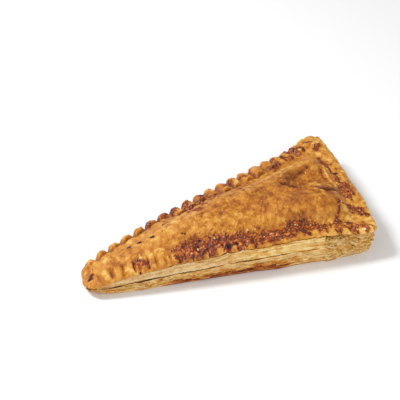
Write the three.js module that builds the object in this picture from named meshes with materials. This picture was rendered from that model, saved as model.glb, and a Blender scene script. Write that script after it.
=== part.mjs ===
// A turnover: one parcel of puff pastry, folded over its filling, crimped all round and baked.
// Millimetres, +Z up. The long front edge runs along X, the right end is square to it, and the
// back edge slants from the blunt left tip to the back right corner. The origin is at the centre
// of the parcel's footprint, on the surface that it rests on.
import * as THREE from "three";

// ---- Driving dimensions ----
const LENGTH = 152; // the front edge, from the blunt tip to the square end
const WIDTH = 90; // the square end, from front to back
const BULGE = 1.2; // how far the square end swells out between its corners
const TIP_WIDTH = 19; // the blunt end
const RIM_HEIGHT = 17.5; // the two puffed sheets at the square end
const TIP_RIM_HEIGHT = 6; // the same sheets at the blunt tip, where they hardly rose
const RIM_GROWTH = 42; // how far from the tip most of that rise happens
const SEAM_WIDTH = 10.5; // the crimped border, from the edge to the filled part
const PILLOW_RISE = 9; // how far the filled part swells above the border
const PILLOW_SLOPE = 9; // how far inside the border most of that swell happens
const VALLEY = { depth: 1.1, width: 2.6 }; // the soft valley between the border and the swell
const CRIMP_PITCH = 7.5;
const CRIMP = { depth: 1.3, from: 0.5, full: 2, fading: 7, to: SEAM_WIDTH };
const SCALLOP = { slanted: 1.1, elsewhere: 0.4 }; // how far each crimp pushes the edge out

// ---- The plan: its corners in order, each with the length of side that its rounding takes ----
const FRONT_DRIFT = -2.5; // the front edge bows forward by this much towards the square end
const HEEL = 9; // the short flat beside the back right corner
const WAIST = { x: LENGTH - 22, y: WIDTH - 11 }; // where the slanted edge is drawn in
const CORNERS = [
  { x: 0, y: TIP_WIDTH / 2, round: 2 },
  { x: 0, y: 0, round: 7 },
  { x: LENGTH, y: FRONT_DRIFT, round: 7 },
  { x: LENGTH + BULGE, y: 0.65 * WIDTH, round: 20 },
  { x: LENGTH, y: WIDTH, round: 5 },
  { x: LENGTH - HEEL, y: WIDTH, round: 3.5 },
  { ...WAIST, round: 10 },
  { x: 0.5, y: TIP_WIDTH, round: 7 },
];
const TIP = 0; // the corner that starts the front side
const FRONT_RIGHT = 2; // the corner that starts the square end
const BACK_RIGHT = 4; // the corner that starts the slanted side

// ---- How finely the solid is divided: this many columns on each of the three sides ----
const SIDE = 70;
const COLUMNS = 3 * SIDE;

// ---- The wall, from the foot up: [share of the local rim height, inset] ----
const WALL = [
  [0.0, 1.4],
  [0.05, 0.0], // the toasted foot
  [0.14, 0.2],
  [0.46, 0.5], // the lower sheet
  [0.53, 1.7], // the open seam between the two sheets
  [0.6, 0.1],
  [0.81, 0.4], // the upper sheet
  [0.88, 1.3], // the shadow gap under the top crust
  [0.93, 0.0], // the top crust's lip
  [1.0, 0.7],
];

// ---- Large unevenness of the filled part: swells and sags, each an oval bump ----
const SWELLS = [
  { x: 126, y: 17, across: 15, deep: 7, turn: 0.05, rise: 2.2 },
  { x: 128, y: 29.5, across: 9, deep: 2.2, turn: 0.05, rise: 1.4 },
  { x: 125, y: 43, across: 11, deep: 7, turn: 0.5, rise: -3.6 },
  { x: 125, y: 54, across: 13, deep: 4, turn: 0.2, rise: 1.6 },
  { x: 92, y: 38, across: 17, deep: 9, turn: 0.45, rise: 1.5 },
  { x: 88, y: 20, across: 14, deep: 5, turn: -0.1, rise: -1.2 },
  { x: 58, y: 22, across: 16, deep: 6, turn: 0.25, rise: 1.2 },
];
// At the front right corner the rim droops, and the top crust hangs out over the sheets below.
const CORNER = { x: LENGTH - 5, y: 0, radius: 15, droop: 3.2, overhang: 3 };

const smooth = (low, high, value) => THREE.MathUtils.smoothstep(value, low, high);

// The outline as one closed path: a curve at each corner, then the straight side after it.
function planPath() {
  const at = CORNERS.map((corner) => new THREE.Vector2(corner.x, corner.y));
  const path = new THREE.Path();
  at.forEach((corner, i) => {
    const towards = (end) => end.clone().sub(corner).setLength(CORNERS[i].round).add(corner);
    const start = towards(at.at(i - 1));
    const end = towards(at[(i + 1) % at.length]);
    if (i === 0) path.moveTo(start.x, start.y);
    else path.lineTo(start.x, start.y);
    path.quadraticCurveTo(corner.x, corner.y, end.x, end.y);
  });
  return path.closePath();
}

const PATH = planPath();
const PATH_LENGTH = PATH.getLength();
const CRIMPS = Math.round(PATH_LENGTH / CRIMP_PITCH);

// How far round the outline the middle of a corner's curve lies, from 0 to 1.
function cornerTurn(corner) {
  const lengths = PATH.getCurveLengths();
  const curve = 2 * corner;
  const before = curve === 0 ? 0 : lengths[curve - 1];
  return (before + lengths[curve]) / 2 / PATH_LENGTH;
}

// 1 on the ridge between two crimps and -1 in a crimp's groove.
const crimpWave = (turn) => Math.cos(2 * Math.PI * CRIMPS * turn);

// Crimps are firm on the slanted edge and near the tip, and soft where the pastry rose most.
const crimpStrength = (x) => 1 - 0.6 * smooth(45, 105, x);

// The columns round the scalloped outline, each with its directions and its turn.
function planColumns() {
  const starts = [TIP, FRONT_RIGHT, BACK_RIGHT].map(cornerTurn).concat(1 + cornerTurn(TIP));
  return Array.from({ length: COLUMNS }, (_, i) => {
    const side = Math.floor(i / SIDE);
    const share = (i % SIDE) / SIDE;
    const turn = THREE.MathUtils.lerp(starts[side], starts[side + 1], share) % 1;
    const along = PATH.getTangent(turn);
    const outward = new THREE.Vector2(along.y, -along.x);
    const point = PATH.getPoint(turn);
    const scallop = side === 2 ? SCALLOP.slanted : SCALLOP.elsewhere;
    point.addScaledVector(outward, scallop * crimpWave(turn) * crimpStrength(point.x));
    return { point, along, outward, turn };
  });
}

const PLAN = planColumns();

// How deep a point lies inside the outline, and its turn round it, by the nearest column.
function nearestEdge(at) {
  const nearest = PLAN.reduce((best, column) =>
    at.distanceToSquared(column.point) < at.distanceToSquared(best.point) ? column : best,
  );
  const offset = at.clone().sub(nearest.point);
  return {
    depth: Math.max(0, -offset.dot(nearest.outward)),
    turn: nearest.turn + offset.dot(nearest.along) / PATH_LENGTH,
  };
}

// 1 at the front right corner, fading to nothing round it.
const nearCorner = ({ x, y }) =>
  Math.exp(-((x - CORNER.x) ** 2 + (y - CORNER.y) ** 2) / CORNER.radius ** 2);

// The rim rises quickly from the tip and then levels off.
function rimHeight(at) {
  const grown = 1 - Math.exp(-Math.max(at.x, 0) / RIM_GROWTH);
  const rise = ((RIM_HEIGHT - TIP_RIM_HEIGHT) * grown) / (1 - Math.exp(-LENGTH / RIM_GROWTH));
  return TIP_RIM_HEIGHT + rise - CORNER.droop * nearCorner(at);
}

function swells({ x, y }) {
  return SWELLS.reduce((sum, s) => {
    const dx = x - s.x;
    const dy = y - s.y;
    const along = (dx * Math.cos(s.turn) + dy * Math.sin(s.turn)) / s.across;
    const over = (dy * Math.cos(s.turn) - dx * Math.sin(s.turn)) / s.deep;
    return sum + s.rise * Math.exp(-along * along - over * over);
  }, 0);
}

// Small baked-in unevenness, a few tenths of a millimetre.
const ripple = ({ x, y }) =>
  0.3 * Math.sin(x / 5.3 + 1.1 * Math.sin(y / 7.1)) + 0.25 * Math.sin(y / 4.1 - x / 13);

// The height of the top crust over any point of the plan.
function topHeight(at) {
  const { depth, turn } = nearestEdge(at);
  const filled = 1 - Math.exp(-Math.max(depth - SEAM_WIDTH, 0) / PILLOW_SLOPE);
  const valley = VALLEY.depth * Math.exp(-(((depth - SEAM_WIDTH) / VALLEY.width) ** 2));
  const pressed = smooth(CRIMP.from, CRIMP.full, depth) - smooth(CRIMP.fading, CRIMP.to, depth);
  const groove = (0.5 - 0.5 * crimpWave(turn)) ** 2;
  const crimp = CRIMP.depth * crimpStrength(at.x) * pressed * groove;
  const swell = (PILLOW_RISE + swells(at)) * filled;
  return rimHeight(at) + swell - valley - crimp + ripple(at) * smooth(0, 4, depth);
}

// One ring round the wall, at some inset from the outline.
function wallRing([share, inset]) {
  return PLAN.map(({ point, outward }) => {
    const at = point.clone().addScaledVector(outward, -inset);
    at.x -= CORNER.overhang * (1 - share) * nearCorner(point);
    return new THREE.Vector3(at.x, at.y, share * rimHeight(at));
  });
}

// A point of the three-sided patch inside a ring. The weights of the tip, the front right and
// the back right corner add up to SIDE. It blends the three lines that cross at that point,
// each drawn between two sides of the ring.
function patchPoint(ring, tip, front, back) {
  const between = (from, to, share) => ring[from % COLUMNS].clone().lerp(ring[to], share);
  return between(SIDE - tip, 2 * SIDE + tip, back / (front + back))
    .add(between(front, 2 * SIDE - front, back / (tip + back)))
    .add(between(COLUMNS - back, SIDE + back, front / (tip + front)))
    .addScaledVector(ring[0], -tip / SIDE)
    .addScaledVector(ring[SIDE], -front / SIDE)
    .addScaledVector(ring[2 * SIDE], -back / SIDE)
    .multiplyScalar(0.5);
}

// The top crust: rows of points from the tip to the square end, joined into triangles.
function addTop(points, faces, ring) {
  const firstOfRing = points.length - COLUMNS;
  const rows = Array.from({ length: SIDE + 1 }, (_, row) =>
    Array.from({ length: row + 1 }, (_, step) => {
      if (step === 0) return firstOfRing + row;
      if (row === SIDE) return firstOfRing + SIDE + step;
      if (step === row) return firstOfRing + COLUMNS - row;
      const { x, y } = patchPoint(ring, SIDE - row, row - step, step);
      const at = new THREE.Vector2(x, y);
      return points.push(new THREE.Vector3(x, y, topHeight(at))) - 1;
    }),
  );
  for (let row = 0; row < SIDE; row++)
    for (let step = 0; step <= row; step++) {
      faces.push(rows[row][step], rows[row + 1][step], rows[row + 1][step + 1]);
      if (step < row) faces.push(rows[row][step], rows[row + 1][step + 1], rows[row][step + 1]);
    }
}

// The wall joins its rings from the foot up, and a flat cap closes the underside.
function addWall(faces, rings) {
  for (let ring = 0; ring + 1 < rings.length; ring++)
    for (let i = 0; i < COLUMNS; i++) {
      const here = ring * COLUMNS + i;
      const next = ring * COLUMNS + ((i + 1) % COLUMNS);
      faces.push(here, next, here + COLUMNS, next, next + COLUMNS, here + COLUMNS);
    }
  const foot = rings[0].map(({ x, y }) => new THREE.Vector2(x, y));
  for (const [a, b, c] of THREE.ShapeUtils.triangulateShape(foot, [])) faces.push(a, c, b);
}

function turnoverGeometry() {
  const rings = WALL.map(wallRing);
  const points = rings.flat();
  const faces = [];
  addWall(faces, rings);
  addTop(points, faces, rings.at(-1));
  const geometry = new THREE.BufferGeometry().setFromPoints(points).setIndex(faces);
  geometry.computeBoundingBox();
  const { min, max } = geometry.boundingBox;
  geometry.translate(-(min.x + max.x) / 2, -(min.y + max.y) / 2, -min.z);
  geometry.computeVertexNormals();
  return geometry;
}

const crust = new THREE.MeshStandardMaterial({ color: 0xd08f45, roughness: 0.5, metalness: 0 });
const turnover = new THREE.Mesh(turnoverGeometry(), crust);
turnover.name = "turnover";

const group = new THREE.Group();
group.add(turnover);
export default group;
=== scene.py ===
# %% [markdown]
# # A baked turnover
# This lesson builds one puff pastry turnover: a parcel of laminated dough, folded over its filling,
# crimped round the border, brushed with egg, strewn with coarse sugar and baked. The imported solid
# gives the true size and place. We keep that size and rebuild the surface with far more detail:
# a swollen top crust, sides of thin torn layers, burnt sugar, sugar grains, flakes and crumbs.

# %% Load the frame
import itertools
import math

import bmesh
import bpy
import numpy as np
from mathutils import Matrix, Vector


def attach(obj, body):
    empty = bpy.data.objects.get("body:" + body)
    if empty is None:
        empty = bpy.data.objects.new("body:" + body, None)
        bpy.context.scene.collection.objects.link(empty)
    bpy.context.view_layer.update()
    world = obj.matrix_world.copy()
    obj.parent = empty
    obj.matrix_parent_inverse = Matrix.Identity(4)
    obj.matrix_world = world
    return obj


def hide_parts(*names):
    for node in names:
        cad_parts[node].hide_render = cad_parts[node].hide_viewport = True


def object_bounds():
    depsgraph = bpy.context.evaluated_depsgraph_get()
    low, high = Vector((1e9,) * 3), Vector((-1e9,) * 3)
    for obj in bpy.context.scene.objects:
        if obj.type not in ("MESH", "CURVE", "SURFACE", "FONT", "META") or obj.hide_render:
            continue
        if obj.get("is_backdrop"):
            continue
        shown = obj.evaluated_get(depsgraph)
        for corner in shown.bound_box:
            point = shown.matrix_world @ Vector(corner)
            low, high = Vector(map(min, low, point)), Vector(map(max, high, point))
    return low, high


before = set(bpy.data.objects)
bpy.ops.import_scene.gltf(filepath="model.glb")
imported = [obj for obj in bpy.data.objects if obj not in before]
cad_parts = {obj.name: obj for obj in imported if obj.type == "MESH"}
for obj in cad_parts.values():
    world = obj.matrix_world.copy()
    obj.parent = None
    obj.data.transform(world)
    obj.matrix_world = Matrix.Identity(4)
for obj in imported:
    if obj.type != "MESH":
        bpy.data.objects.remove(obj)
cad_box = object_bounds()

MM = 0.001  # one millimetre in Blender's metres
print("the solid measures", [round((high - low) / MM, 1) for low, high in zip(*cad_box)], "mm")

# %% [markdown]
# ## Sizes
# Everything starts from a few sizes in millimetres, the same ones that the solid was made from.
# x runs along the front edge from the blunt tip, and y runs back from the front edge. Naming the
# sizes once means that the crust, the layers and the sugar all agree on where the border is.

# %% Sizes of the parcel
LENGTH, WIDTH, TIP_WIDTH = 152, 90, 19
RIM_HEIGHT, TIP_RIM_HEIGHT, RIM_GROWTH = 17.5, 6, 42
CORNERS = [  # x, y, and the length of side that the corner's rounding takes
    (0, TIP_WIDTH / 2, 2),
    (0, 0, 7),
    (LENGTH, -2.5, 7),
    (LENGTH + 1.2, 0.65 * WIDTH, 20),
    (LENGTH, WIDTH, 5),
    (LENGTH - 9, WIDTH, 3.5),
    (LENGTH - 22, WIDTH - 11, 10),
    (0.5, TIP_WIDTH, 7),
]
SIDE_STARTS = [0, 2, 4]  # the corners where the front, the right and the slanted side start
FRONT, RIGHT, SLANTED = 0, 1, 2
SIDE = 400  # columns on each of the three sides
COLUMNS = 3 * SIDE
print("the parcel is", LENGTH, "mm long and", WIDTH, "mm wide at its square end")

# %% [markdown]
# ## Random tables
# Baked dough is uneven at every scale, so most of this lesson is noise put to work. Blender has
# noise of its own, but only its materials can read all of it. Written here in a few lines, the same
# field can shape the mesh and paint it. Everything is drawn from two seeded tables, so that every
# run gives the same pastry.

# %% Tables of random numbers
TABLE = 4096
PRIMES = np.array([73856093, 19349663, 83492791])
slope_table = np.random.default_rng(1).normal(size=(TABLE, 3))
slope_table /= np.linalg.norm(slope_table, axis=1)[:, None]
draw_table = np.random.default_rng(2).random((TABLE, 3))


def table_row(cells, seed):
    """A repeatable row of the tables for each grid cell."""
    mixed = cells * PRIMES
    return (mixed[..., 0] ^ mixed[..., 1] ^ mixed[..., 2] ^ (seed * 7919)) % TABLE


print("the noise picks from", TABLE, "random slopes")

# %% [markdown]
# ## Gradient noise
# Gradient noise gives soft rolling unevenness. Each corner of a grid has a random slope, and inside
# a cell the slopes of its eight corners are blended. Adding finer and finer noise at half the
# strength each time gives a rough surface.

# %% Gradient noise
def noise(points, size, seed=0):
    """Smooth noise from about -1 to 1, with bumps about `size` millimetres across."""
    places = points / size
    cells = np.floor(places).astype(np.int64)
    inside = places - cells
    ease = inside**3 * (inside * (inside * 6 - 15) + 10)
    total = np.zeros(len(points))
    for corner in itertools.product((0, 1), repeat=3):
        corner = np.array(corner)
        share = np.prod(np.where(corner, ease, 1 - ease), axis=1)
        slope = slope_table[table_row(cells + corner, seed)]
        total += share * np.sum(slope * (inside - corner), axis=1)
    return 1.7 * total


def rough(points, size, seed=0, octaves=3):
    """Noise with finer and finer noise added at half the strength each time."""
    return sum(noise(points, size / 2**i, seed + i) / 2**i for i in range(octaves))


sample = rough(np.random.default_rng(3).uniform(0, 100, (500, 3)), 5)
print("rough noise runs from", sample.min().round(2), "to", sample.max().round(2))

# %% [markdown]
# ## Cell noise
# Cell noise gives bubbles and grains: it measures the way to the nearest of many scattered points,
# one in each cell of a grid. Rounded off, that distance is a field of domes, and a second random
# number for each dome lets us keep only some of them, or raise them by different amounts.

# %% Cell noise
def bubbles(points, size, seed=0, radius=0.6):
    """Round bubbles scattered in plan: their height from 0 to 1, and a random number for each."""
    places = points / size
    cells = np.floor(places).astype(np.int64)
    nearest = np.full(len(points), 9.0)
    number = np.zeros(len(points))
    for step in itertools.product((-1, 0, 1), (-1, 0, 1)):
        draw = draw_table[table_row(cells + np.array([*step, 0]), seed)]
        way = np.hypot(*(places[:, :2] - cells[:, :2] - np.array(step) - draw[:, :2]).T)
        number = np.where(way < nearest, draw[:, 2], number)
        nearest = np.minimum(way, nearest)
    return np.sqrt(np.clip(1 - (nearest / radius) ** 2, 0, 1)), number


def smooth(low, high, value):
    """0 below low, 1 above high, and an easy curve between them."""
    share = np.clip((value - low) / (high - low), 0, 1)
    return share * share * (3 - 2 * share)


print("halfway up the easy curve:", smooth(0, 1, 0.5))

# %% [markdown]
# ## The outline
# The parcel's plan is a long wedge with a blunt tip. Each corner is rounded with a simple curve,
# and the whole is read off at even steps, like beads on a string. Each bead keeps the direction
# that points outwards, because the torn layers of the side grow along it.

# %% Outline
def path_points():
    """The rounded outline as a dense closed line, and how far along it each corner lies."""
    corners = np.array([corner[:2] for corner in CORNERS], float)
    steps = np.linspace(0, 1, 41)[:, None]
    line, middles = [], []
    for i, (corner, (_, _, reach)) in enumerate(zip(corners, CORNERS)):
        before, after = corners[i - 1] - corner, corners[(i + 1) % len(corners)] - corner
        start = corner + reach * before / np.linalg.norm(before)
        end = corner + reach * after / np.linalg.norm(after)
        middles.append(sum(map(len, line)) + len(steps) // 2)
        line.append((1 - steps) ** 2 * start + 2 * steps * (1 - steps) * corner + steps**2 * end)
    line = np.vstack(line + [line[0][:1]])
    way = np.concatenate([[0], np.cumsum(np.hypot(*np.diff(line, axis=0).T))])
    return line, way, way[middles]


path, path_way, corner_ways = path_points()
PATH_LENGTH = path_way[-1]


def on_path(way):
    """Points of the outline at some way along it, before any scallops."""
    way = np.mod(way, PATH_LENGTH)
    return np.stack([np.interp(way, path_way, path[:, i]) for i in (0, 1)], axis=1)


starts = [*corner_ways[SIDE_STARTS], PATH_LENGTH + corner_ways[SIDE_STARTS[0]]]
column_way = np.concatenate(
    [np.linspace(starts[i], starts[i + 1], SIDE, endpoint=False) for i in range(3)]
)
column_side = np.repeat([FRONT, RIGHT, SLANTED], SIDE)
plain = on_path(column_way)
ahead = on_path(column_way + 0.6) - on_path(column_way - 0.6)
along = ahead / np.linalg.norm(ahead, axis=1)[:, None]
outward = np.stack([along[:, 1], -along[:, 0]], axis=1)
print("outline of", COLUMNS, "columns,", round(PATH_LENGTH), "mm round")

# %% [markdown]
# ## Crimps
# A crimping tool pressed the two sheets together. On the slanted side it left plump lobes with a
# narrow notch between them, and on the front edge, which a wheel then cut straight, it left
# fingers that lie just behind the edge. The tool was moved by hand, so the front ridges are not
# evenly spaced, and a short list says where they lie. The phase counts the ridges: it is a whole
# number on a ridge and halfway between two in a groove.

# %% Ridges and scallops
FRONT_RIDGES = np.array(  # x of each ridge behind the front edge
    [4, 10.9, 16.8, 22.9, 30.0, 38.6, 45.3, 52.7, 60.2, 68.1]
    + [74.8, 83.5, 91.8, 100.5, 109.4, 117.7, 126.8, 134, 142.2, 149.5]
)
RIDGE_GAPS = np.diff(FRONT_RIDGES)
LOBE_PITCH, FIRST_LOBE = 7.9, 12.1  # along the slanted side, and the first lobe's x
SCALLOP, CUT_SCALLOP = 1.7, 0.3  # how far the lobes stand out, torn and cut

slanted = slice(SLANTED * SIDE, COLUMNS)
first_lobe_way = np.interp(-FIRST_LOBE, -plain[slanted, 0], column_way[slanted])
uneven = 0.10 * noise(np.column_stack([plain, np.zeros(COLUMNS)]), 17, 44)
phase = np.where(
    column_side == SLANTED,
    (column_way - first_lobe_way) / LOBE_PITCH + uneven * smooth(45, 60, plain[:, 0]),
    np.interp(plain[:, 0], FRONT_RIDGES, np.arange(len(FRONT_RIDGES))),
)


def lobe_shape(phase):
    """1 along the middle of a lobe, falling to 0 in the notches beside it."""
    return 1 - np.abs(2 * (phase - np.round(phase))) ** 2.4


def from_front_ridge(x, phase):
    """Millimetres from the nearest ridge of the front edge, and halfway to the next ridge."""
    gap = np.interp(x, FRONT_RIDGES[:-1] + RIDGE_GAPS / 2, RIDGE_GAPS)
    return gap * np.abs(phase - np.round(phase)), gap / 2


def crimp_strength(x, side):
    """How firmly the tool was pressed, from 0 to 1."""
    front = smooth(7, 11, x) * (1 - 0.45 * smooth(46, 56, x))
    slanted = smooth(2, 8, x) * (1 - 0.6 * smooth(105, 125, x))
    return np.choose(side, [front, 0 * x, slanted])


firm = crimp_strength(plain[:, 0], column_side)
standing = np.choose(column_side, [CUT_SCALLOP, 0, SCALLOP])
scallop = standing * firm * (lobe_shape(phase) - 0.65)
scallop += np.where(column_side == RIGHT, 0.5, 0.12) * noise(np.c_[plain, 0 * firm], 13, 41)
edge = plain + scallop[:, None] * outward
PLAN_CENTRE = (edge.min(axis=0) + edge.max(axis=0)) / 2
print(len(FRONT_RIDGES), "front ridges, plan centre at", PLAN_CENTRE.round(2))

# %% [markdown]
# ## Three-sided patches
# The top has three sides, so it is meshed with rows of triangles that run from the tip to the
# square end, one more in each row. A point inside is blended from the three straight lines that
# cross there, each drawn between two sides. That keeps the triangles even in size everywhere, which
# a grid squeezed into a wedge would not do.

# %% Patch inside a closed ring
def patch(ring):
    """Plan points of the patch inside a ring, the ring's own first, and its triangles."""
    rows, steps = np.array([(r, s) for r in range(2, SIDE) for s in range(1, r)]).T
    tip, front, back = SIDE - rows, rows - steps, steps

    def between(start, end, share):
        share = share[:, None]
        return ring[start % COLUMNS] * (1 - share) + ring[end % COLUMNS] * share

    inner = between(SIDE - tip, 2 * SIDE + tip, back / (front + back))
    inner += between(front, 2 * SIDE - front, back / (tip + back))
    inner += between(COLUMNS - back, SIDE + back, front / (tip + front))
    for weight, corner in ((tip, 0), (front, SIDE), (back, 2 * SIDE)):
        inner -= weight[:, None] / SIDE * ring[corner]

    def index(row, step):
        inside = COLUMNS + (row - 2) * (row - 1) // 2 + step - 1
        on_ring = np.where(step == 0, row, np.where(row == SIDE, SIDE + step, COLUMNS - row))
        return np.where((step == 0) | (row == SIDE) | (step == row), on_ring % COLUMNS, inside)

    row, step = np.array([(r, s) for r in range(SIDE) for s in range(r + 1)]).T
    up = np.stack([index(row, step), index(row + 1, step), index(row + 1, step + 1)], axis=1)
    row, step = np.array([(r, s) for r in range(SIDE) for s in range(r)]).T
    down = np.stack([index(row, step), index(row + 1, step + 1), index(row, step + 1)], axis=1)
    return np.vstack([ring, inner / 2]), np.vstack([up, down])


def joined(lower, upper):
    """Four-cornered faces between two rings, given as the numbers of their points."""
    corners = [lower, np.roll(lower, -1), np.roll(upper, -1), upper]
    return np.stack(corners, axis=1).tolist()


print("a patch has", SIDE**2, "triangles")

# %% [markdown]
# ## Making an object
# Every piece ends up the same way: points in millimetres are moved so that the plan's centre is at
# the origin, scaled to metres, and given named values for each point, such as how brown it is. The
# materials read those values back, so the paint always fits the relief.

# %% From points to an object
def make_piece(name, points, faces, material, **values):
    """A smooth-shaded mesh object from points in millimetres, with values for each point."""
    places = np.array(points, float)
    places[:, :2] -= PLAN_CENTRE
    mesh = bpy.data.meshes.new(name)
    mesh.from_pydata((places * MM).tolist(), [], faces)
    mesh.shade_smooth()
    for value_name, value in values.items():
        layer = mesh.attributes.new(value_name, "FLOAT", "POINT")
        layer.data.foreach_set("value", np.asarray(value, np.float32))
    mesh.materials.append(material)
    piece = bpy.data.objects.new(name, mesh)
    bpy.context.collection.objects.link(piece)
    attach(piece, "root")
    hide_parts("turnover")
    mesh.calc_loop_triangles()
    print(name, "has", len(mesh.loop_triangles), "triangles")


# %% [markdown]
# ## Rim and swells
# The border is two sheets pressed together. It is thin at the tip and puffs up towards the square
# end. On the filled part lie a few broad swells and sags, with a deep dent at the square end where
# steam once held the crust up and let it fall. Ovals in a short list are enough for those.

# %% Rim and swells
CORNER_X, CORNER_RADIUS, CORNER_DROOP, OVERHANG = LENGTH - 5, 15, 3.2, 3
SWELLS = [  # x, y, half length, half depth, turn, rise, sharpness
    (122, 16, 17, 8, 0.05, 1.6, 1),
    (129, 30, 9, 2.4, -0.3, 1.0, 1),
    (129.5, 41, 13.5, 10.5, 0.35, -4.8, 2.6),
    (132.5, 37.5, 5, 4, 0.3, 1.1, 1),
    (92, 36, 17, 9, 0.45, 1.2, 1),
    (88, 18, 14, 5, -0.1, -0.8, 1),
    (58, 22, 16, 6, 0.25, 1.0, 1),
]


def near_corner(xy):
    """1 at the front right corner, fading to nothing round it."""
    away = (xy[:, 0] - CORNER_X) ** 2 + xy[:, 1] ** 2
    return np.exp(-away / CORNER_RADIUS**2)


def rim_height(xy):
    """Height of the border, tip to square end, without its fine relief."""
    grown = 1 - np.exp(-np.maximum(xy[:, 0], 0) / RIM_GROWTH)
    rise = (RIM_HEIGHT - TIP_RIM_HEIGHT) * grown / (1 - math.exp(-LENGTH / RIM_GROWTH))
    return TIP_RIM_HEIGHT + rise - CORNER_DROOP * near_corner(xy)


def oval(xy, x, y, half_length, half_depth, turn, rise, sharpness):
    """A swell in plan. A sharpness of 2 gives it a flat middle and steep sides."""
    dx, dy = xy[:, 0] - x, xy[:, 1] - y
    length = (dx * math.cos(turn) + dy * math.sin(turn)) / half_length
    depth = (dy * math.cos(turn) - dx * math.sin(turn)) / half_depth
    return rise * np.exp(-((length * length + depth * depth) ** sharpness))


border_ends = rim_height(np.array([[0.0, TIP_WIDTH / 2], [LENGTH, WIDTH / 2]]))
print("the border's height at the tip and at the square end:", border_ends.round(1), "mm")

# %% [markdown]
# ## The way in from each side
# Crimps, sugar and filling all depend on how far a point lies from the edge, and on where along the
# edge it is. For each of the three sides we find the nearest column of the outline, slide along it
# to the foot of the perpendicular, and keep the distance, which counts as negative outside.

# %% Way in from the sides
NEAR_STRIDE = 4  # every fourth column is close enough, as the sides are nearly straight


def sides_of(xy):
    """For each point: its way in from each of the three sides, and where on the outline that is."""
    depths, ways = np.empty((3, len(xy))), np.empty((3, len(xy)))
    for side in (FRONT, RIGHT, SLANTED):
        picks = np.arange(side * SIDE, (side + 1) * SIDE, NEAR_STRIDE)
        reach = 0.5 * (column_way[picks[1]] - column_way[picks[0]])
        away = sum((xy[:, None, i] - plain[picks, i]) ** 2 for i in (0, 1))
        near = picks[np.argmin(away, axis=1)]
        step = xy - plain[near]
        slide = np.clip(np.sum(step * along[near], axis=1), -reach, reach)
        rest = step - slide[:, None] * along[near]
        inside = np.sum(rest * outward[near], axis=1) < 0
        depths[side] = np.where(inside, 1, -1) * np.hypot(*rest.T)
        ways[side] = column_way[near] + slide
    return depths, ways


print("the plan's centre is", sides_of(PLAN_CENTRE[None])[0][:, 0].round(1), "mm from the sides")

# %% [markdown]
# ## The pillow
# The filled part swells inside the border. A ball cut flat would look like a bun, and a subdivided
# box has no sharp seam. Here each side has a curve that leaves the border slowly and then levels
# out, and the product of the three is a pillow with no creases. A seam runs round its foot at the
# square end, where the filling pushed the crust up.

# %% Pillow
PILLOW_RISE = 10


def pillow(depths, x):
    """How much of the filling's full height there is, and how near the seam round it is."""
    right_half = smooth(70, 110, x)
    seams = np.stack([7 + 3.5 * right_half, 10 + 0 * x, 8 + 4 * right_half])
    slopes = np.array([8.5, 6.0, 11.0])[:, None]
    blur = 3 - 2.2 * right_half
    above = blur * np.logaddexp(0, (depths - seams) / blur)
    filled = np.prod(1 - np.exp(-above / slopes), axis=0)
    nearness = np.sum(np.maximum(depths / seams, 0.05) ** -4.0, axis=0) ** -0.25
    seam = right_half * np.exp(-(((nearness - 1) / 0.28) ** 2))
    return filled, seam


middle_depths, _ = sides_of(PLAN_CENTRE[None])
print("share of the full rise at the centre:", pillow(middle_depths, PLAN_CENTRE[:1])[0].round(2))

# %% [markdown]
# ## Where the sugar burnt
# Coarse sugar melted, bubbled and burnt where it lay thick: a long band behind the front edge,
# small pools between the crimps, stars and streaks on the square end. A picture could be painted
# for this. A stroke of a brush is shorter to write down: a line of places with a radius at each.

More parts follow.
